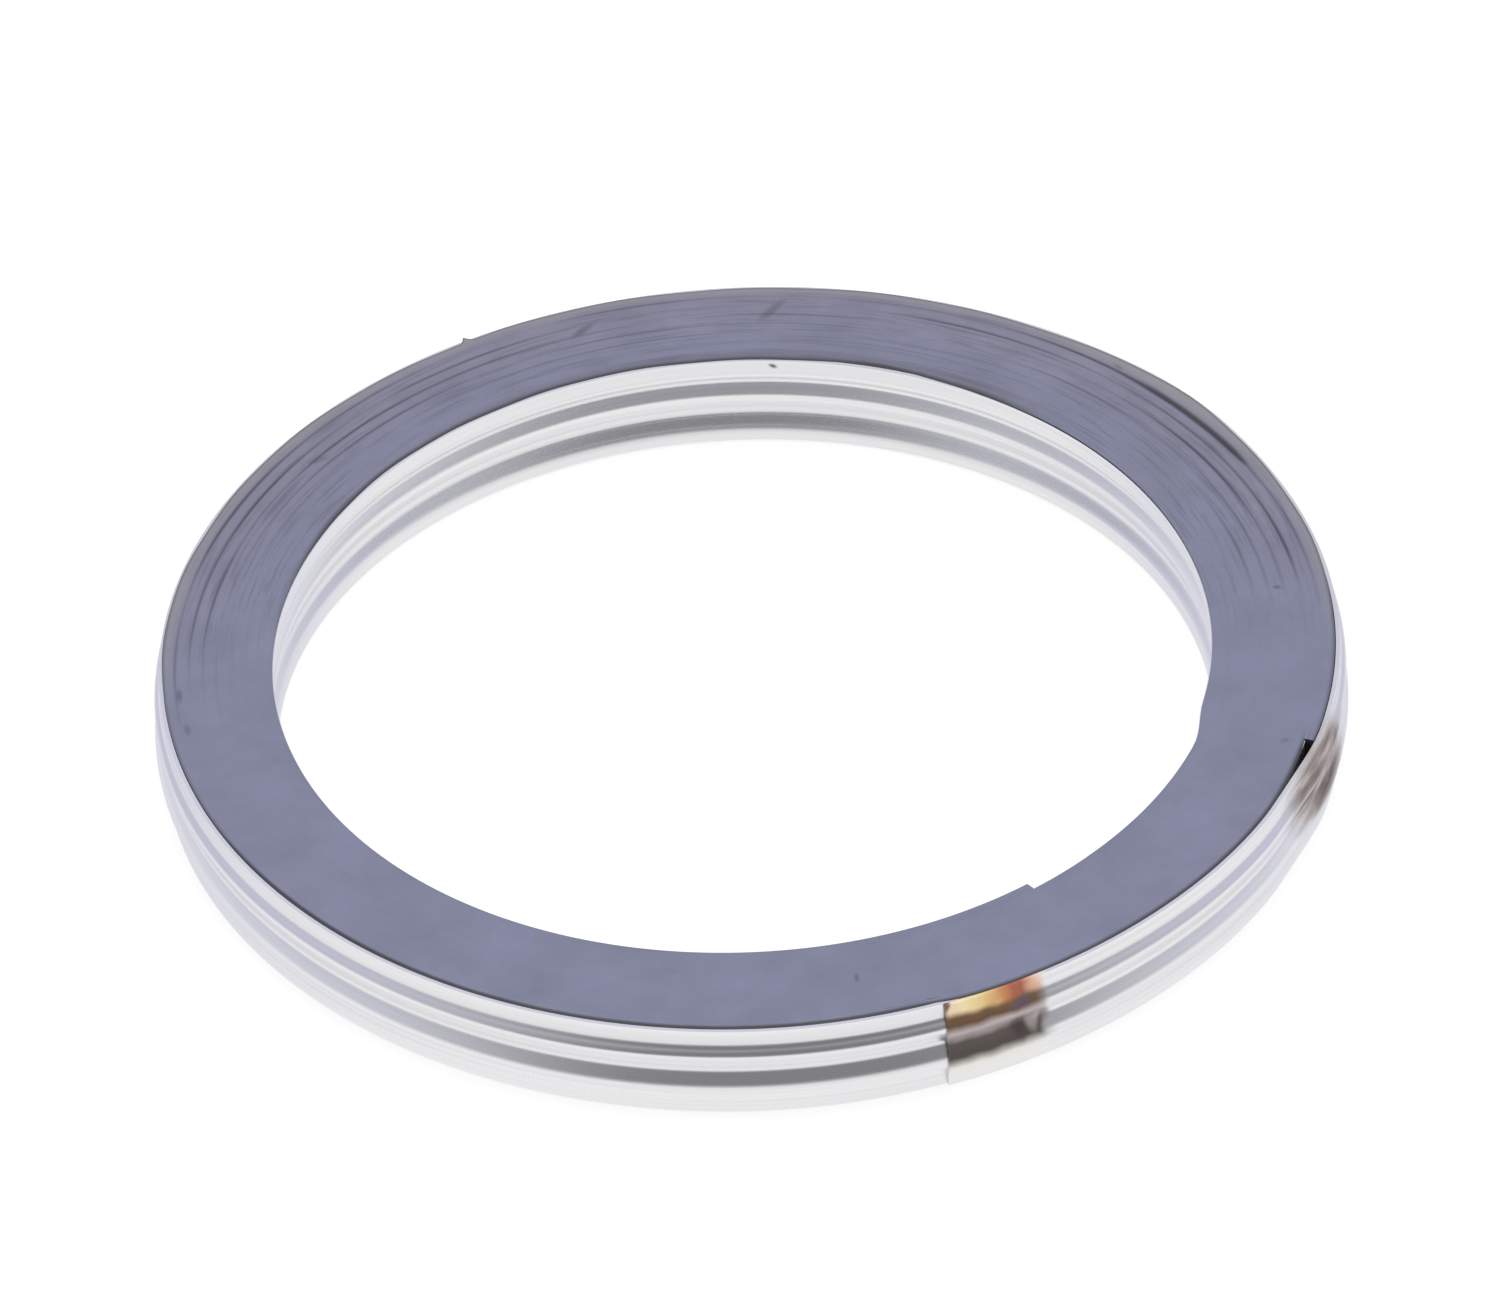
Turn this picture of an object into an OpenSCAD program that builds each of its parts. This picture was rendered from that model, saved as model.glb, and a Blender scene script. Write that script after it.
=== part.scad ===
// Spiral-wound exhaust ring gasket. One W-section steel strip is wound together with one
// graphite strip, and the graphite stands proud of the steel to make both sealing faces.
// The origin is on the ring's axis, on the lower face.

/* [Ring] */
// Bore across the lands of the innermost steel turn
bore_d = 48; // [40:0.5:60]
// Thickness over the two graphite faces
ring_h = 5.4; // [4.8:0.1:7]
// Turns of graphite; the steel has one more
filler_turns = 8; // [4:1:10]

/* [Steel strip] */
// Thickness of the strip
strip_t = 0.2; // [0.14:0.01:0.24]
// Depth of the two rolled ridges that give the strip its W section
ridge_depth = 0.4; // [0.3:0.02:0.48]
// Height of the plain land along each edge of the strip
land_h = 0.5; // [0.3:0.05:0.6]
// Height of the flat on each ridge and in the valley between them
crest_h = 0.3; // [0.2:0.05:0.4]
// Angle from the end of the joggle to the strip's inner end
inner_end_angle = 19; // [5:1:40]
// Angle from the end of the joggle to the end of the strip's tail
tail_angle = 36; // [10:1:60]

/* [Graphite filler] */
// Thickness of the graphite between two steel turns
filler_t = 0.53; // [0.45:0.02:0.61]
// Play on each side of the graphite
play = 0.01; // [0.01:0.01:0.03]
// How far each graphite face stands proud of the strip's edges
proud = 0.15; // [0.08:0.01:0.25]
// Width of the seam left between neighbouring turns on the face
seam = 0.06; // [0.04:0.01:0.1]
// Thickness of the graphite's squeezed outer end
squeezed_t = 0.28; // [0.2:0.02:0.3]

/* [Hidden] */
$fn = 180;

bore_r = bore_d/2;
pitch = strip_t + filler_t + 2*play;
axis = [0, 0];

// Each turn is a circle, apart from a joggle that lifts it by one pitch onto the next circle.
// A joggle is a flat arc and then a tight arc, tangent to each other and to both circles.
// Each of them turns clockwise through the small angle of a 7-24-25 triangle.
joggle_start = [24/25, 7/25];
joggle_mid = [1, 0];
joggle_end = [24/25, -7/25];
function centre_shift(climb) = climb/(2*(1 - joggle_start.x));
function past_joggle(angle) = let (a = -acos(joggle_end.x) - angle) [cos(a), sin(a)];

// Inner side of the W section, from the strip's lower edge to its upper edge, as [radius, height]
strip_h = ring_h - 2*proud;
slope_h = (strip_h - 2*land_h - 3*crest_h)/4;
inner_side = [
    [0, proud],
    for (i = [0:3])
        let (z = proud + land_h + i*(slope_h + crest_h))
            each [[(i % 2)*ridge_depth, z], [((i + 1) % 2)*ridge_depth, z + slope_h]],
    [0, proud + strip_h]
];
outer_side = parallel(inner_side, strip_t);

function normal(a, b) = [b.y - a.y, a.x - b.x]/norm(b - a);
function parallel(line, gap) = [
    for (i = [0:len(line) - 1])
        let (
            before = normal(line[max(i - 1, 0)], line[max(i, 1)]),
            after = normal(line[min(i, len(line) - 2)], line[min(i + 1, len(line) - 1)])
        )
            line[i] + gap*(before + after)/(1 + before*after)
];
function reverse(line) = [for (i = [len(line) - 1:-1:0]) line[i]];
function moved(line, dx) = [for (p = line) p + [dx, 0]];
function bends(line) = [for (i = [1:len(line) - 2]) line[i]];

module strip_section() {
    polygon(concat(inner_side, reverse(outer_side)));
}

// Graphite between two turns, with heads pressed out over half of each neighbouring strip edge
module filler_section() {
    head = [(strip_t + seam)/2, pitch + (strip_t - seam)/2];
    neck = [strip_t + play, pitch - play];
    low = proud - play;
    high = ring_h - low;
    polygon(concat(
        [[head[0], 0], [head[0], low], [neck[0], low]],
        moved(bends(outer_side), play),
        [[neck[0], high], [head[0], high], [head[0], ring_h]],
        [[head[1], ring_h], [head[1], high], [neck[1], high]],
        moved(reverse(bends(inner_side)), neck[1]),
        [[neck[1], low], [head[1], low], [head[1], 0]]
    ));
}

// Squeezed end of the graphite: a thin layer that lies on the outer side of a steel turn
module squeezed_section() {
    near = play;
    far = play + squeezed_t;
    polygon(concat(
        [[strip_t + near, 0]],
        moved(bends(outer_side), near),
        [[strip_t + near, ring_h], [strip_t + far, ring_h]],
        moved(reverse(bends(outer_side)), far),
        [[strip_t + far, 0]]
    ));
}

// One section for each turn from first to last
module turns(first, last) {
    for (i = [first:last])
        translate([bore_r + i*pitch, 0])
            children();
}

// Wedge that reaches from a centre past the rim, between two directions
module sector(centre, from, to) {
    reach = 3*bore_r;
    overlap = 1;
    translate([0, 0, -overlap])
        linear_extrude(ring_h + 2*overlap)
            polygon([centre, centre + reach*from, centre + reach*to]);
}

// Turns that go round the axis, all but a gap between two directions
module round_run(gap_start, gap_end) {
    difference() {
        rotate_extrude()
            children();
        sector(axis, gap_start, gap_end);
    }
}

// Arc whose centre lies off the axis by a shift towards a direction, and whose radius is less by as much
module arc(towards, shift, from, to) {
    centre = shift*towards;
    intersection() {
        translate([centre.x, centre.y, 0])
            rotate_extrude()
                translate([-shift, 0])
                    children();
        sector(centre, from, to);
    }
}

module joggle_in(climb) {
    arc(joggle_start, -centre_shift(climb), joggle_start, joggle_mid)
        children();
}

module joggle_out(climb) {
    arc(joggle_end, centre_shift(climb), joggle_mid, joggle_end)
        translate([climb, 0])
            children();
}

// A strip of this many turns, from its inner end to the start of its last joggle
module winding(count) {
    inner_end = past_joggle(inner_end_angle);
    round_run(joggle_start, inner_end)
        turns(0, 0) children();
    round_run(joggle_start, joggle_end)
        turns(1, count - 1) children();
    joggle_in(pitch)
        turns(0, count - 2) children();
    joggle_out(pitch)
        turns(0, count - 2) children();
}

module steel_strip() {
    color("silver") {
        winding(filler_turns + 1)
            strip_section();
        // Tail: past the end of the graphite it climbs half a pitch and lies on the turn below
        joggle_in(pitch/2)
            turns(filler_turns, filler_turns) strip_section();
        joggle_out(pitch/2)
            turns(filler_turns, filler_turns) strip_section();
        arc(axis, 0, joggle_end, past_joggle(tail_angle))
            translate([pitch/2, 0])
                turns(filler_turns, filler_turns) strip_section();
    }
}

module graphite_filler() {
    color("slategray") {
        winding(filler_turns)
            filler_section();
        joggle_in(pitch)
            turns(filler_turns - 1, filler_turns - 1) squeezed_section();
    }
}

steel_strip();
graphite_filler();
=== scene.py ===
import math

import bpy
import numpy as np
from mathutils import Matrix, Vector


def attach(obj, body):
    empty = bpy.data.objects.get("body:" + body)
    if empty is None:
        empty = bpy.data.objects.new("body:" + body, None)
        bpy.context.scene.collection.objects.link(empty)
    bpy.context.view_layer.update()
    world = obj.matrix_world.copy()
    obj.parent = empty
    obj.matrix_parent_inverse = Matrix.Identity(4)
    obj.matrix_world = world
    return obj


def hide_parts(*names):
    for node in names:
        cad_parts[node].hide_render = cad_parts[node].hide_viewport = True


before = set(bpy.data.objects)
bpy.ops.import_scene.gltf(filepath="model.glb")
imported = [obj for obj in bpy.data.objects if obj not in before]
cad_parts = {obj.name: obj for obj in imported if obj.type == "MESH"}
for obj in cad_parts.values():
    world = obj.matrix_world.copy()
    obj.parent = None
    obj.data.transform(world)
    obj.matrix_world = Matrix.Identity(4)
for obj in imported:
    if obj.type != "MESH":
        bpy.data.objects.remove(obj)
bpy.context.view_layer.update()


# Steel strip
# One stainless strip, rolled bright to a W section and wound clockwise from the bore to the rim.
# Each turn climbs over the graphite in a joggle, and the tail is spot welded to the turn below it.

# A place on the winding is a count of degrees, clockwise from +X, that grows by 360 with every
# turn. Sizes are in millimetres until they become points.
MM = 0.001
TURN = 360.0
BORE_R = 24.0
PITCH = 0.75
RIM_R = BORE_R + 8.0 * PITCH
STRIP_T = 0.2
RING_H = 5.4
HALF_JOGGLE = 16.3
LAST_JOGGLE = 8.0 * TURN
TAIL_START = LAST_JOGGLE + TURN
TAIL_END = TAIL_START + 52.3
TAIL_GAP = 0.01
INNER_END = 34.5
OFF_CENTRE = 0.36
BULGE = 0.22
PHOTO_TURN = 20.3


def ease(value, low, high):
    """0 below low, 1 above high, and the smooth cubic step 3t^2 - 2t^3 between them."""
    t = np.clip((value - low) / (high - low), 0.0, 1.0)
    return t * t * (3.0 - 2.0 * t)


def hump(value, centre, width):
    """A bell of height 1: e to the minus square of the distance from the centre in widths."""
    return np.exp(-(((value - centre) / width) ** 2))


def photo_angle(count):
    """Degrees anticlockwise from the right-hand side of the photo, from 0 to 360."""
    return np.mod(-count - PHOTO_TURN, TURN)


def last_climb(late):
    """The climb of the last joggle: half a pitch at once and the rest slowly, past the tail's
    end."""
    return 0.5 * PITCH * (ease(late, -8.0, 12.0) + ease(late, 24.0, 75.0))


def turn_radius(count):
    """The bore's radius plus a pitch for each joggle passed. The first joggle is short and climbs
    0.6 of its height at once. Where the graphite ends, the tail drops onto the turn below and
    follows it. The rim bulges at the far right."""
    late = count[..., None] - TURN * np.arange(2, 8)
    radius = BORE_R + PITCH * ease(late, -HALF_JOGGLE, HALF_JOGGLE).sum(-1)
    radius += PITCH * (0.6 * ease(count, 353.5, 361.8) + 0.4 * ease(count, 390.0, 445.0))
    radius += last_climb(count - LAST_JOGGLE)
    drop = PITCH - STRIP_T - TAIL_GAP - last_climb(count - TAIL_START)
    radius -= drop * ease(count - TAIL_START, -4.0, 8.0)
    return radius + BULGE * ease(radius, 29.3, 29.9) * hump(photo_angle(count), 40.0, 11.0)


def winding_points(count, outward, height):
    """Points in metres at that count of degrees, that far outward from the winding line.
    Inner turns lie a little left of the rim's centre, by less the further out they are."""
    radius = turn_radius(count) + outward
    angle = np.radians(-count)
    left = math.radians(180.0 + PHOTO_TURN)
    off = OFF_CENTRE * np.clip((RIM_R - radius) / (RIM_R - BORE_R), 0.0, 1.1)
    x = radius * np.cos(angle) + off * math.cos(left)
    y = radius * np.sin(angle) + off * math.sin(left)
    return np.stack(np.broadcast_arrays(x, y, height), axis=-1) * MM


def sweep(name, count, outward, height, across):
    """A closed solid swept along the winding: row i is the closed section at count[i], clockwise
    with outward to the right, and the two ends are capped. The UV map holds millimetres along the
    winding from its outer end, and across it. Edges sharper than the crease angle aren't shaded
    smooth."""
    crease = math.radians(50.0)
    rows, cols = outward.shape
    points = winding_points(count[:, None], outward, height)
    index = np.arange(rows * cols).reshape(rows, cols)
    near, far = index[:-1], index[1:]
    quads = np.stack([near, far, np.roll(far, -1, 1), np.roll(near, -1, 1)], axis=-1)
    faces = quads.reshape(-1, 4).tolist() + [index[0].tolist(), index[-1][::-1].tolist()]
    mesh = bpy.data.meshes.new(name)
    mesh.from_pydata(points.reshape(-1, 3).tolist(), [], faces)
    along = np.radians(TAIL_END - count[:, None]) * turn_radius(count)[:, None]
    uv = np.stack(np.broadcast_arrays(along, across), axis=-1).reshape(-1, 2)
    corner = np.empty(len(mesh.loops), dtype=np.int32)
    mesh.loops.foreach_get("vertex_index", corner)
    layer = mesh.uv_layers.new(name="winding")
    layer.data.foreach_set("uv", uv[corner].astype(np.float32).ravel())
    mesh.shade_smooth()
    mesh.set_sharp_from_angle(angle=crease)
    piece = bpy.data.objects.new(name, mesh)
    bpy.context.scene.collection.objects.link(piece)
    return piece


# Bends of the section from the lower edge up, as (outward, height), and how far each is rounded:
# between the points that far before and after a bend runs a quadratic curve. The outer side lies
# a strip's thickness along the normal.
bends = np.array([
    (0.0, 0.12), (0.0, 0.85), (0.44, 1.78), (0.0, 2.9), (0.36, 3.86), (0.0, 4.28), (0.0, 5.32)])
rounding = np.array([0.35, 0.35, 0.3, 0.24, 0.3])[:, None]
before = bends[:-2] - bends[1:-1]
after = bends[2:] - bends[1:-1]
before *= rounding / np.linalg.norm(before, axis=1, keepdims=True)
after *= rounding / np.linalg.norm(after, axis=1, keepdims=True)
t = np.linspace(0.0, 1.0, 8)[None, :, None]
curved = bends[1:-1, None] + (1.0 - t) ** 2 * before[:, None] + t ** 2 * after[:, None]
inner_side = np.concatenate([bends[:1], curved.reshape(-1, 2), bends[-1:]])
run = np.gradient(inner_side, axis=0)
normal = np.stack([run[:, 1], -run[:, 0]], axis=-1) / np.linalg.norm(run, axis=1, keepdims=True)
section = np.concatenate([inner_side, (inner_side + STRIP_T * normal)[::-1]])

# Fine steps where the strip shows, in the bore and round the rim, and coarse ones between.
FINE = 1.25
COARSE = 7.5
BORE_SHOWS = 440.0
RIM_SHOWS = 2840.0
count = np.concatenate([
    np.arange(INNER_END, BORE_SHOWS, FINE),
    np.arange(BORE_SHOWS, RIM_SHOWS, COARSE),
    np.arange(RIM_SHOWS, TAIL_END, FINE),
    [TAIL_END],
])
outward = np.tile(section[:, 0], (len(count), 1))
height = np.tile(section[:, 1], (len(count), 1))
strip = sweep("strip", count, outward, height, height)


def colour(code):
    """Linear colour, with full alpha, of an sRGB hex code."""
    part = [int(code[i:i + 2], 16) / 255.0 for i in (1, 3, 5)]
    return [c / 12.92 if c <= 0.04045 else ((c + 0.055) / 1.055) ** 2.4 for c in part] + [1.0]


def add(tree, kind, settings=None, stops=(), **inputs):
    """Adds a node of that kind with its settings and returns its output sockets. An input is a
    socket to link from or a value to hold; its key is the socket's name, with underscores for
    spaces, or in0, in1 and so on for its place. Stops are a ramp's places and hex colours."""
    node = tree.nodes.new(kind)
    for key, value in (settings or {}).items():
        setattr(node, key, value)
    for place, _ in stops[2:]:
        node.color_ramp.elements.new(place)
    for stop, (place, code) in zip(node.color_ramp.elements if stops else (), stops):
        stop.position = place
        stop.color = colour(code)
    for key, value in inputs.items():
        socket = node.inputs[int(key[2:]) if key[2:].isdigit() else key.replace("_", " ")]
        if isinstance(value, bpy.types.NodeSocket):
            tree.links.new(value, socket)
        else:
            socket.default_value = value
    return node.outputs


def material(name):
    """A new node material: it, its node tree and its shader."""
    made = bpy.data.materials.new(name)
    made.use_nodes = True
    return made, made.node_tree, made.node_tree.nodes["Principled BSDF"]


SMOOTH = {"interpolation_type": "SMOOTHSTEP"}
TIMES = {"operation": "MULTIPLY"}
OVER = {"data_type": "RGBA"}


def oval(tree, at, place, half, turn, soft):
    """A share that is 1 inside an oval and 0 outside. The place and the half sizes are in the
    units of at, the turn is in degrees, and soft is the part of the half size over which it
    fades."""
    local = add(tree, "ShaderNodeMapping", {"vector_type": "TEXTURE"}, Vector=at,
                Location=(*place, 0.0), Rotation=(0.0, 0.0, math.radians(turn)),
                Scale=(*half, 1.0))[0]
    out = add(tree, "ShaderNodeVectorMath", {"operation": "LENGTH"}, in0=local)["Value"]
    return add(tree, "ShaderNodeMapRange", SMOOTH,
               in0=out, in1=1.0 - soft, in2=1.0, in3=1.0, in4=0.0)[0]


# Stainless steel, cold rolled bright: it mirrors its surroundings in bands along the bends, and
# faint rolling lines about 0.3 mm apart run along it.
steel, tree, shader = material("bright_rolled_stainless_steel")
winding = add(tree, "ShaderNodeUVMap", {"uv_map": "winding"})["UV"]
lines_at = add(tree, "ShaderNodeMapping", Vector=winding, Scale=(0.02, 3.3, 1.0))[0]
rolled = add(tree, "ShaderNodeTexNoise", Vector=lines_at, Scale=1.0, Detail=3.0)["Fac"]
bright = add(tree, "ShaderNodeValToRGB", in0=rolled, stops=[
    (0.3, "#e2e2e4"), (0.7, "#eeeeef")])["Color"]

# Heat tints have wandering edges, so they are placed on the winding shifted by blots of about
# 1 mm.
blots = add(tree, "ShaderNodeTexNoise", {"normalize": False},
            Vector=winding, Scale=0.8, Detail=1.0)["Color"]
burnt_at = add(tree, "ShaderNodeVectorMath", {"operation": "MULTIPLY_ADD"},
               in0=blots, in1=(0.4, 0.15, 0.0), in2=winding)[0]
burnt = add(tree, "ShaderNodeSeparateXYZ", in0=burnt_at)
along, up = burnt["X"], burnt["Y"]

# The first weld is at the tail's end: straw to copper on the land, brown and grey below it, and
# darker where the electrode sat.
FIRST_TINT_LENGTH = 6.0
per_length = add(tree, "ShaderNodeMath", {"operation": "DIVIDE"},
                 in0=along, in1=FIRST_TINT_LENGTH)[0]
# Its first, dark brown stop is a painted shadow along the tail's cut end.
land_tint_and_end_shadow = add(tree, "ShaderNodeValToRGB", in0=per_length, stops=[
    (0.0, "#7a5c46"), (0.04, "#ecd2b4"), (0.14, "#efe0ae"), (0.36, "#e4c789"), (0.48, "#c98a5a"),
    (0.6, "#ab6145"), (0.72, "#a65d44"), (0.8, "#d8ab8c"), (0.92, "#ebe2d8")])["Color"]
per_height = add(tree, "ShaderNodeMath", {"operation": "DIVIDE"}, in0=up, in1=RING_H)[0]
wall_tint = add(tree, "ShaderNodeValToRGB", in0=per_height, stops=[
    (0.0, "#f0eee9"), (0.23, "#e6e1d8"), (0.38, "#575049"), (0.51, "#655c56"), (0.57, "#9a8f90"),
    (0.66, "#bdb2b2"), (0.7, "#a3958f"), (0.75, "#70543c"), (0.86, "#8a6a48")])["Color"]
on_land = add(tree, "ShaderNodeMapRange", SMOOTH, in0=up, in1=4.25, in2=4.75)[0]
first_tint = add(tree, "ShaderNodeMix", OVER, in0=on_land, in6=wall_tint, in7=land_tint_and_end_shadow)[2]
for place, half, share, code in [
    ((4.0, 4.15), (1.2, 0.4), 0.6, "#5f5b78"),
    ((3.9, 2.6), (0.9, 1.0), 1.0, "#4f4243"),
    ((4.65, 2.8), (0.5, 1.0), 0.8, "#b5a9a7"),
    ((5.15, 2.6), (0.45, 1.0), 0.8, "#534546"),
]:
    scorched = oval(tree, burnt_at, place, half, 0.0, 0.95)
    scorched = add(tree, "ShaderNodeMath", TIMES, in0=scorched, in1=share)[0]
    first_tint = add(tree, "ShaderNodeMix", OVER, in0=scorched, in6=first_tint, in7=colour(code))[2]
first_end = add(tree, "ShaderNodeMapRange", SMOOTH,
                in0=along, in1=4.9, in2=5.8, in3=1.0, in4=0.0)[0]
first_foot = add(tree, "ShaderNodeMapRange", SMOOTH,
                 in0=up, in1=0.6, in2=1.9, in3=0.35, in4=1.0)[0]
first_share = add(tree, "ShaderNodeMath", TIMES, in0=first_end, in1=first_foot)[0]
tinted = add(tree, "ShaderNodeMix", OVER, in0=first_share, in6=bright, in7=first_tint)[2]

# The second weld, where the graphite ends, left grey-brown scale in streaks about 0.5 mm wide.
streaks_at = add(tree, "ShaderNodeMapping", Vector=winding,
                 Rotation=(0.0, 0.0, math.radians(-12.0)), Scale=(0.3, 2.0, 1.0))[0]
streaks = add(tree, "ShaderNodeTexNoise", Vector=streaks_at, Scale=1.0, Detail=3.0)["Fac"]
scale_tint = add(tree, "ShaderNodeValToRGB", in0=streaks, stops=[
    (0.3, "#5f5450"), (0.5, "#8f837e"), (0.68, "#c6bbb6")])["Color"]
second_share = oval(tree, burnt_at, (28.4, 3.4), (5.5, 2.9), -8.0, 0.55)
tinted = add(tree, "ShaderNodeMix", OVER, in0=second_share, in6=tinted, in7=scale_tint)[2]

# A speck on the upper land in the bore.
speck = oval(tree, winding, (1272.2, 5.0), (0.35, 0.2), 25.0, 0.9)
tinted = add(tree, "ShaderNodeMix", OVER, in0=speck, in6=tinted, in7=colour("#6c6c70"))[2]

# Heat scale is duller than the steel, and the rolled lines vary the steel's gloss.
burnt_share = add(tree, "ShaderNodeMath", {"operation": "MAXIMUM"},
                  in0=first_share, in1=second_share)[0]
metallic = add(tree, "ShaderNodeMapRange", in0=burnt_share, in3=1.0, in4=0.35)[0]
rolled_roughness = add(tree, "ShaderNodeMapRange",
                       in0=rolled, in1=0.3, in2=0.7, in3=0.31, in4=0.25)[0]
roughness = add(tree, "ShaderNodeMix", in0=burnt_share, in2=rolled_roughness, in3=0.45)[0]
tree.links.new(tinted, shader.inputs["Base Color"])
tree.links.new(metallic, shader.inputs["Metallic"])
tree.links.new(roughness, shader.inputs["Roughness"])
strip.data.materials.append(steel)
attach(strip, "root")
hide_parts("steel_strip")


# Graphite filler
# One strip of flexible graphite, wound between the steel turns and pressed flat with them. It
# spreads over the strip's edges and makes both faces, and on the far side its seams show.
FILLER_END = LAST_JOGGLE - 2.3
RIM_START = TAIL_END - TURN
SPLINTER = 2742.1
STEP = 1.6
PLAY = 0.03
MARGIN = 0.01


def crack(count):
    """1 along the one long crack, in the last seam before the rim, and 0 elsewhere: a step up
    times a step down in the photo angle, in one turn only."""
    photo = photo_angle(count)
    last_seam = (count > LAST_JOGGLE - TURN) & (count < LAST_JOGGLE)
    return ease(photo, 24.0, 30.0) * (1.0 - ease(photo, 42.0, 50.0)) * last_seam


def seam_depth(count):
    """Depth of the seam over the strip's edge: dashes from three sine waves, deeper towards the
    rim, on the far side only, and the crack."""
    photo = photo_angle(count)
    t = np.radians(count)
    waves = (0.5 + 0.28 * np.sin(3.1 * t) + 0.22 * np.sin(7.7 * t + 1.0)
             + 0.18 * np.sin(13.3 * t + 2.0))
    far = ease(photo, 0.0, 16.0) * (1.0 - ease(photo, 170.0, 195.0))
    dashes = 0.005 + 0.05 * far * np.clip(waves, 0.0, 1.0) * ease(count, 300.0, 2300.0)
    return np.maximum(dashes, 0.078 * crack(count))


# Even steps, with a few more at the splinter. Outside each place lies the strip's next turn.
at_splinter = SPLINTER + np.array([-0.7, -0.3, 0.0, 0.3, 0.7])
count = np.concatenate([np.arange(INNER_END, FILLER_END, STEP), at_splinter, [FILLER_END]])
count = np.sort(count)[:, None]
next_turn = count + TURN
photo = photo_angle(count)
width = turn_radius(next_turn) - turn_radius(count)
far = ease(photo, 0.0, 25.0) * (1.0 - ease(photo, 165.0, 200.0))
in_bore = 1.0 - ease(count, 382.0, 398.0)
on_rim = ease(next_turn, RIM_START - 3.0, RIM_START + 3.0)
under_tail = ease(next_turn, FILLER_END - 2.0, FILLER_END + 2.0) * (1.0 - on_rim)

# Edges of the face as distances out from the inner turn. Between turns they lie over the middle
# of the strip's edge. In the bore the far side is chipped back, and on the rim the near side
# leaves a groove.
half_edge = 0.5 * STRIP_T
chipped = ease(photo, 58.0, 68.0) * (1.0 - ease(photo, 125.0, 165.0))
bite = hump(photo, 71.0, 4.0)
frayed = 0.03 * np.sin(np.radians(11.0 * photo)) + 0.02 * np.sin(np.radians(29.0 * photo + 40.0))
bore_lip = 0.04 + (0.06 + 0.9 * frayed) * chipped + 0.24 * bite
grooved = ease(photo, 200.0, 220.0) * (1.0 - ease(photo, 300.0, 330.0))
rim_lip = -0.04 + far * (0.12 + frayed) - 0.03 * grooved
splinter = 0.4 * hump(count, SPLINTER, 0.35)
inner_edge = half_edge + in_bore * (bore_lip - half_edge)
outer_edge = width + half_edge + under_tail * half_edge + on_rim * (rim_lip - half_edge)

# From each edge the face rises in a round lip, from its full depth to flat. The lip is widest in
# the bore, beside the crack and, on the outer side, under the tail. The lower face ends further
# back in the bore, and only the upper one has a splinter at the rim.
lip = np.array([[0.0, 0.05, 0.12, 0.2, 0.3]])
lip_shape = np.array([[1.0, 0.85, 0.5, 0.15, 0.0]])
bore_depth = 0.01 + 0.075 * ease(photo, 44.0, 60.0) * (1.0 - ease(photo, 140.0, 175.0))
rim_depth = 0.04 + 0.05 * grooved
inner_drop = (seam_depth(count) * (1.0 - in_bore) + bore_depth * in_bore) * lip_shape
outer_drop = seam_depth(next_turn) * (1.0 - under_tail - on_rim)
outer_drop = (outer_drop + 0.075 * under_tail + rim_depth * on_rim) * lip_shape
in_bore_wide = in_bore * (1.0 - 0.9 * bite)
inner_wide = 0.75 + 0.8 * in_bore_wide + 0.55 * crack(count) - 0.5 * under_tail
outer_wide = 0.75 + 0.25 * on_rim + 0.55 * crack(next_turn) + 0.5 * under_tail
inner_lip = inner_edge + inner_wide * lip
outer_lip = outer_edge - outer_wide * lip[:, ::-1]
top_out = np.concatenate([inner_lip, outer_lip + splinter], axis=1)
bottom_out = np.concatenate([inner_lip + 0.15 * in_bore, outer_lip], axis=1)
top_z = RING_H - np.concatenate([inner_drop, outer_drop[:, ::-1]], axis=1)

# Between the faces the filler follows the strip's bends on both sides, clear of the strip by the
# play, and stays inside its own lips by the margin.
neck_out = np.tile(bends[:, 0], (len(count), 1))
inner_top = top_z[:, :1] - MARGIN
outer_top = top_z[:, -1:] - MARGIN
inner_z = np.clip(bends[:, 1], RING_H - inner_top, inner_top)
outer_z = np.clip(bends[:, 1], RING_H - outer_top, outer_top)
outward = np.concatenate([
    top_out,
    neck_out[:, ::-1] + width - PLAY,
    bottom_out[:, ::-1],
    neck_out + STRIP_T + PLAY,
], axis=1)
height = np.concatenate([top_z, outer_z[:, ::-1], RING_H - top_z[:, ::-1], inner_z], axis=1)
filler = sweep("filler", count[:, 0], outward, height, outward)

# Pressed flexible graphite: a satin blue-grey skin, mottled over some 4 mm, that is worn to plain
# grey along the far rim, with painted shade along the far edge of the bore and in every groove.
graphite, tree, shader = material("pressed_flexible_graphite")
spot = add(tree, "ShaderNodeTexCoord")["Object"]
face_at = add(tree, "ShaderNodeMapping", Vector=spot,
              Rotation=(0.0, 0.0, math.radians(-PHOTO_TURN)), Scale=(1.0 / MM, 1.0 / MM, 0.0))[0]
away = add(tree, "ShaderNodeSeparateXYZ", in0=face_at)["Y"]
radius = add(tree, "ShaderNodeVectorMath", {"operation": "LENGTH"}, in0=face_at)["Value"]
cloud = add(tree, "ShaderNodeTexNoise",
            Vector=face_at, Scale=0.25, Detail=6.0, Roughness=0.65)["Fac"]
near_face = add(tree, "ShaderNodeValToRGB", in0=cloud, stops=[
    (0.3, "#6a6d82"), (0.7, "#757890")])["Color"]
far_face = add(tree, "ShaderNodeValToRGB", in0=cloud, stops=[
    (0.3, "#6b6a7e"), (0.7, "#7a788b")])["Color"]
to_far = add(tree, "ShaderNodeMapRange", SMOOTH, in0=away, in1=-4.0, in2=18.0)[0]
to_rim = add(tree, "ShaderNodeMapRange", SMOOTH,
             in0=radius, in1=26.3, in2=28.3, in3=0.25, in4=1.0)[0]
greyer = add(tree, "ShaderNodeMath", TIMES, in0=to_far, in1=to_rim)[0]
face = add(tree, "ShaderNodeMix", OVER, in0=greyer, in6=near_face, in7=far_face)[2]

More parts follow.
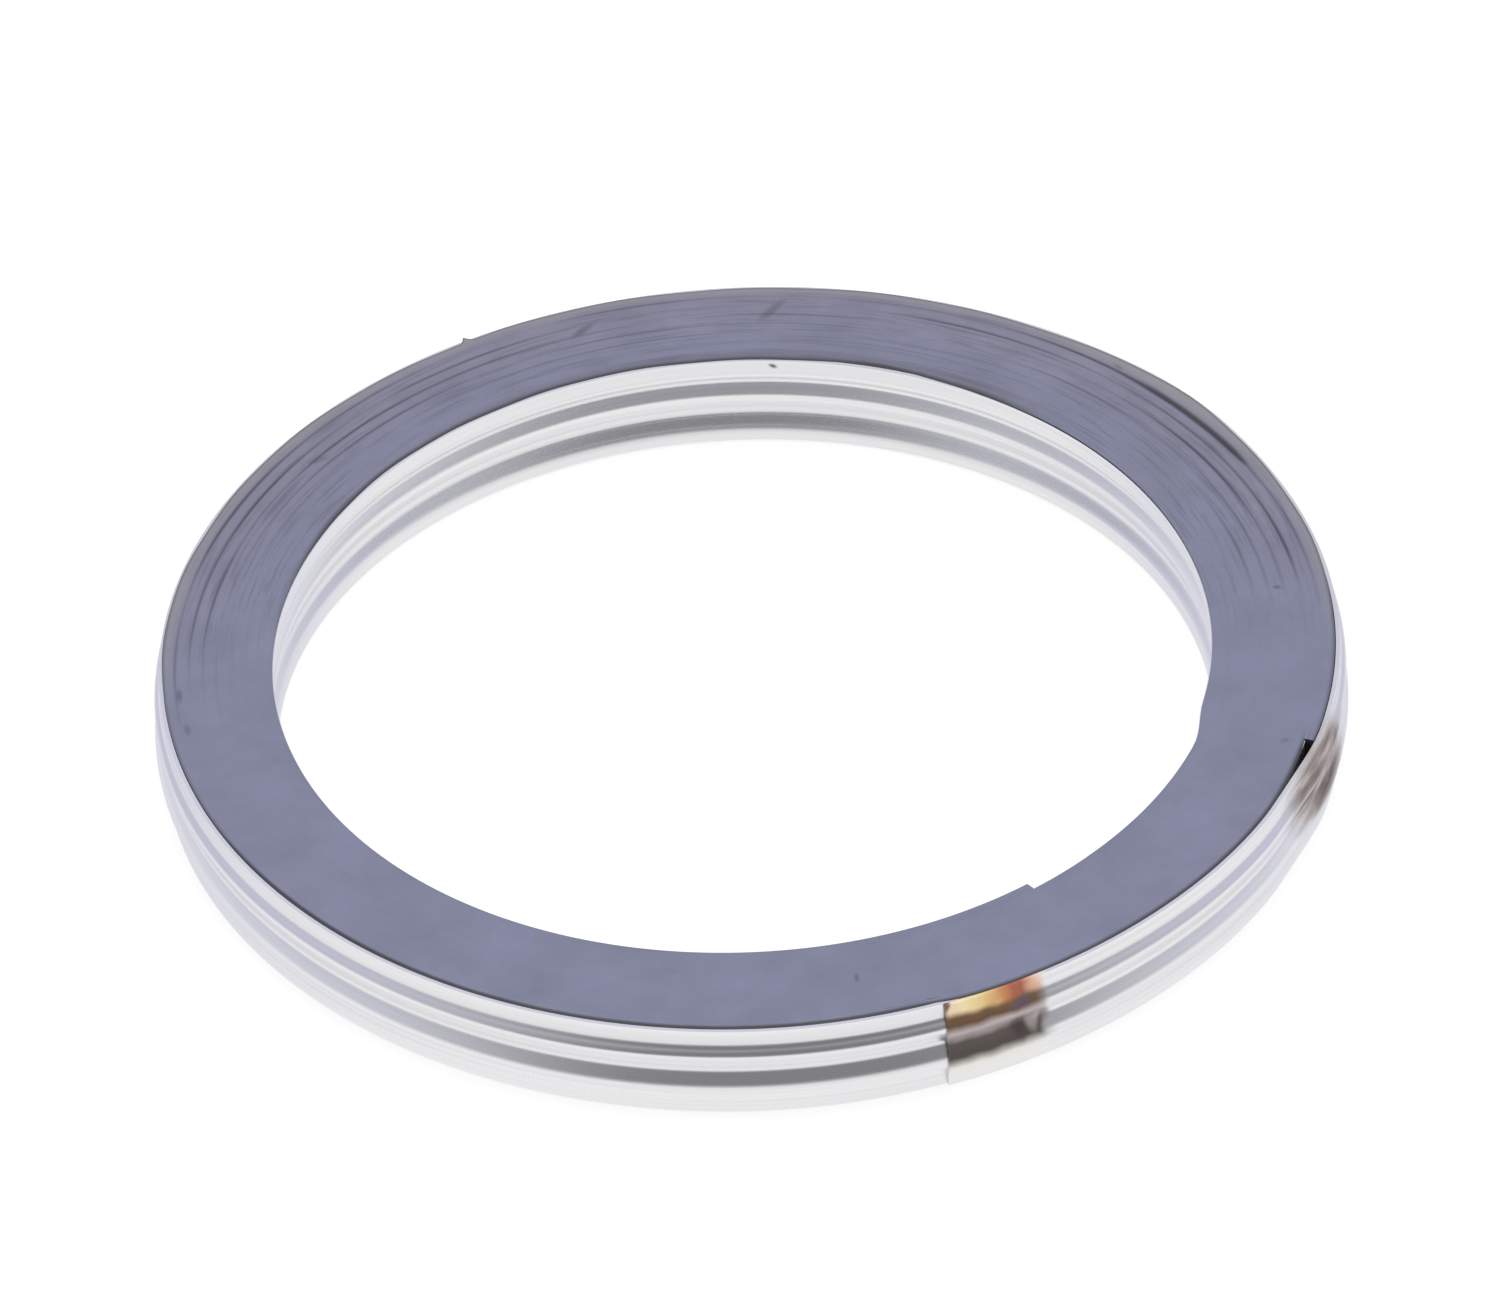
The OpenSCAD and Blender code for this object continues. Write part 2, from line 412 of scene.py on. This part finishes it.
# Dark streaks about 0.2 mm wide and some 4 mm long follow the winding on the far side.
winding = add(tree, "ShaderNodeUVMap", {"uv_map": "winding"})["UV"]
streaks_at = add(tree, "ShaderNodeMapping", Vector=winding, Scale=(0.25, 5.0, 1.0))[0]
streaks = add(tree, "ShaderNodeTexNoise", Vector=streaks_at, Scale=1.0, Detail=4.0)["Fac"]
dragged = add(tree, "ShaderNodeMapRange", SMOOTH, in0=streaks, in1=0.48, in2=0.72, in4=0.5)[0]
far_half = add(tree, "ShaderNodeMapRange", SMOOTH, in0=away, in1=-4.0, in2=9.0)[0]
dragged = add(tree, "ShaderNodeMath", TIMES, in0=dragged, in1=far_half)[0]
face = add(tree, "ShaderNodeMix", OVER, in0=dragged, in6=face, in7=colour("#4e4d60"))[2]

# Wear along the far rim, and painted shade along the far edge of the bore.
rim_wear = add(tree, "ShaderNodeMapRange", SMOOTH, in0=radius, in1=29.2, in2=30.1)[0]
far_wear = add(tree, "ShaderNodeMapRange", SMOOTH, in0=away, in1=-4.0, in2=6.0, in4=0.7)[0]
worn = add(tree, "ShaderNodeMath", TIMES, in0=rim_wear, in1=far_wear)[0]
face = add(tree, "ShaderNodeMix", OVER, in0=worn, in6=face, in7=colour("#888685"))[2]
bore_edge_shade = add(tree, "ShaderNodeMapRange", SMOOTH,
                in0=radius, in1=24.5, in2=25.0, in3=0.4, in4=0.0)[0]
far_edge_shade = add(tree, "ShaderNodeMapRange", SMOOTH, in0=away, in1=16.0, in2=22.0)[0]
bore_edge_shade = add(tree, "ShaderNodeMath", TIMES, in0=bore_edge_shade, in1=far_edge_shade)[0]
face = add(tree, "ShaderNodeMix", OVER, in0=bore_edge_shade, in6=face, in7=colour("#4a4a52"))[2]

# Smudges and pits, each at a photo angle and a radius, with its half sizes along and across, its
# turn in degrees, its share and its colour.
for angle, out, long, wide, turn, share, code in [
    (86.0, 28.1, 1.5, 0.4, 51.0, 0.6, "#4c4a5a"),
    (106.2, 28.2, 1.2, 0.35, 45.0, 0.65, "#4a4858"),
    (6.8, 27.35, 0.35, 0.25, 0.0, 0.7, "#4a4c58"),
    (280.0, 26.85, 0.2, 0.5, 0.0, 0.7, "#4c4e72"),
    (341.2, 28.5, 0.4, 0.3, 30.0, 0.6, "#565a68"),
    (141.5, 27.8, 0.8, 0.35, 30.0, 0.55, "#504e60"),
    (149.0, 27.6, 3.2, 0.3, 59.0, 0.5, "#504e64"),
    (107.0, 25.4, 2.2, 0.2, 17.0, 0.35, "#5a5a6a"),
    (48.0, 29.6, 0.2, 0.5, 40.0, 0.5, "#55555c"),
    (164.0, 25.6, 0.9, 0.2, 74.0, 0.35, "#5a5a6c"),
    (183.0, 29.2, 0.8, 0.25, 93.0, 0.65, "#4c4c5e"),
    (188.5, 29.1, 0.7, 0.25, 98.0, 0.55, "#4c4c5e"),
]:
    place = (out * math.cos(math.radians(angle)), out * math.sin(math.radians(angle)))
    smudge = oval(tree, face_at, place, (long, wide), turn, 0.8)
    smudge = add(tree, "ShaderNodeMath", TIMES, in0=smudge, in1=share)[0]
    face = add(tree, "ShaderNodeMix", OVER, in0=smudge, in6=face, in7=colour(code))[2]

# Painted shade in every groove: a few hundredths of a millimetre below either face the skin is
# drawn dark.
HALF_H = 0.5 * RING_H * MM
SHADED_DEPTH = 0.07 * MM
level = add(tree, "ShaderNodeSeparateXYZ", in0=spot)["Z"]
from_middle = add(tree, "ShaderNodeMath", {"operation": "SUBTRACT"}, in0=level, in1=HALF_H)[0]
from_middle = add(tree, "ShaderNodeMath", {"operation": "ABSOLUTE"}, in0=from_middle)[0]
painted_groove_shade = add(tree, "ShaderNodeMapRange", SMOOTH,
             in0=from_middle, in1=HALF_H - SHADED_DEPTH, in2=HALF_H, in3=0.95, in4=0.0)[0]
face = add(tree, "ShaderNodeMix", OVER, in0=painted_groove_shade, in6=face, in7=colour("#25252b"))[2]

# The skin is duller where it is darker, and its pressed flakes, drawn 0.4 mm wide to show, lie
# unevenly.
roughness = add(tree, "ShaderNodeMapRange", in0=cloud, in1=0.3, in2=0.7, in3=0.56, in4=0.44)[0]
flakes = add(tree, "ShaderNodeTexNoise", Vector=face_at, Scale=2.5, Detail=3.0)["Fac"]
uneven = add(tree, "ShaderNodeBump", Strength=0.3, Distance=0.02 * MM, Height=flakes)[0]
tree.links.new(face, shader.inputs["Base Color"])
tree.links.new(roughness, shader.inputs["Roughness"])
tree.links.new(uneven, shader.inputs["Normal"])
filler.data.materials.append(graphite)
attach(filler, "root")
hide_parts("graphite_filler")


# Stage
# A white table that glows evenly and isn't mirrored, soft light from a pale sky and from a lamp
# overhead, and a room for the steel to mirror.
FLOOR_GAP = 0.03 * MM
bpy.ops.mesh.primitive_plane_add(size=6.0, location=(0.0, 0.0, -FLOOR_GAP))
floor = bpy.context.object
floor.name = "floor"
floor.visible_glossy = False
table, tree, shader = material("white_table")
spot = add(tree, "ShaderNodeTexCoord")["Object"]
cloud = add(tree, "ShaderNodeTexNoise", Vector=spot, Scale=40.0, Detail=2.0)["Fac"]
white = add(tree, "ShaderNodeValToRGB", in0=cloud, stops=[
    (0.0, "#8e8e8e"), (1.0, "#929292")])["Color"]
tree.links.new(white, shader.inputs["Base Color"])
shader.inputs["Roughness"].default_value = 0.9
shader.inputs["Specular IOR Level"].default_value = 0.0
shader.inputs["Emission Color"].default_value = colour("#ffffff")
shader.inputs["Emission Strength"].default_value = 0.78
floor.data.materials.append(table)

# What the steel mirrors: white from below and from high up, bluer at the back, and between them
# the room, grey at the front and lavender at the sides. All else is lit by a plain pale sky.
azimuth = math.radians(270.0 + PHOTO_TURN)
world = bpy.data.worlds.new("studio")
world.use_nodes = True
tree = world.node_tree
way = add(tree, "ShaderNodeTexCoord")["Generated"]
climb = add(tree, "ShaderNodeSeparateXYZ", in0=way)["Z"]
sky = add(tree, "ShaderNodeValToRGB", in0=climb, stops=[
    (0.0, "#d2d2e2"), (0.3, "#e2e2ec"), (0.7, "#ffffff")])["Color"]
darkest = azimuth + math.radians(5.0)
ahead = add(tree, "ShaderNodeVectorMath", {"operation": "DOT_PRODUCT"},
            in0=way, in1=(math.cos(darkest), math.sin(darkest), 0.0))["Value"]
room = add(tree, "ShaderNodeValToRGB", in0=ahead, stops=[
    (0.0, "#d0d0e2"), (0.3, "#cdcdda"), (0.5, "#c2c2ca"), (0.75, "#9a9a9e"),
    (0.88, "#7e7e7f")])["Color"]
below = add(tree, "ShaderNodeMapRange", SMOOTH, in0=climb, in1=-0.38, in2=-0.16)[0]
above = add(tree, "ShaderNodeMapRange", SMOOTH,
            in0=climb, in1=0.7, in2=0.85, in3=1.0, in4=0.0)[0]
room_share = add(tree, "ShaderNodeMath", TIMES, in0=below, in1=above)[0]
to_front = add(tree, "ShaderNodeMapRange", in0=ahead, in1=-0.65, in2=-0.05)[0]
bare = add(tree, "ShaderNodeValToRGB", in0=to_front, stops=[
    (0.0, "#eeeef7"), (1.0, "#ffffff")])["Color"]
mirrored = add(tree, "ShaderNodeMix", OVER, in0=room_share, in6=bare, in7=room)[2]
in_gloss = add(tree, "ShaderNodeLightPath")["Is Glossy Ray"]
seen = add(tree, "ShaderNodeMix", OVER, in0=in_gloss, in6=sky, in7=mirrored)[2]
tree.links.new(seen, tree.nodes["Background"].inputs["Color"])
bpy.context.scene.world = world

lamp = bpy.data.lights.new("overhead", "AREA")
lamp.energy = 6.0
lamp.size = 1.2
overhead = bpy.data.objects.new("overhead", lamp)
overhead.location = (0.0, 0.2, 1.3)
bpy.context.scene.collection.objects.link(overhead)


# Camera
# A long lens from the photo's side and height, tilted a little because the ring leans there.
elevation = math.radians(39.017)
tilt = math.radians(2.614)
distance = 1.2
back = Vector((
    math.cos(elevation) * math.cos(azimuth),
    math.cos(elevation) * math.sin(azimuth),
    math.sin(elevation),
))
right = Vector((-math.sin(azimuth), math.cos(azimuth), 0.0))
up = back.cross(right)
leaned = Matrix((
    math.cos(tilt) * right - math.sin(tilt) * up,
    math.sin(tilt) * right + math.cos(tilt) * up,
    back,
))
lens = bpy.data.cameras.new("camera")
lens.lens = 563.45
lens.sensor_width = 36.0
lens.shift_x = 0.00072
lens.shift_y = 0.001
lens.clip_end = 50.0
camera = bpy.data.objects.new("camera", lens)
stand = Vector((0.0, 0.0, RING_H * MM)) + distance * back
camera.matrix_world = Matrix.Translation(stand) @ leaned.transposed().to_4x4()
bpy.context.scene.collection.objects.link(camera)
bpy.context.scene.camera = camera
bpy.context.scene.view_settings.view_transform = "Standard"
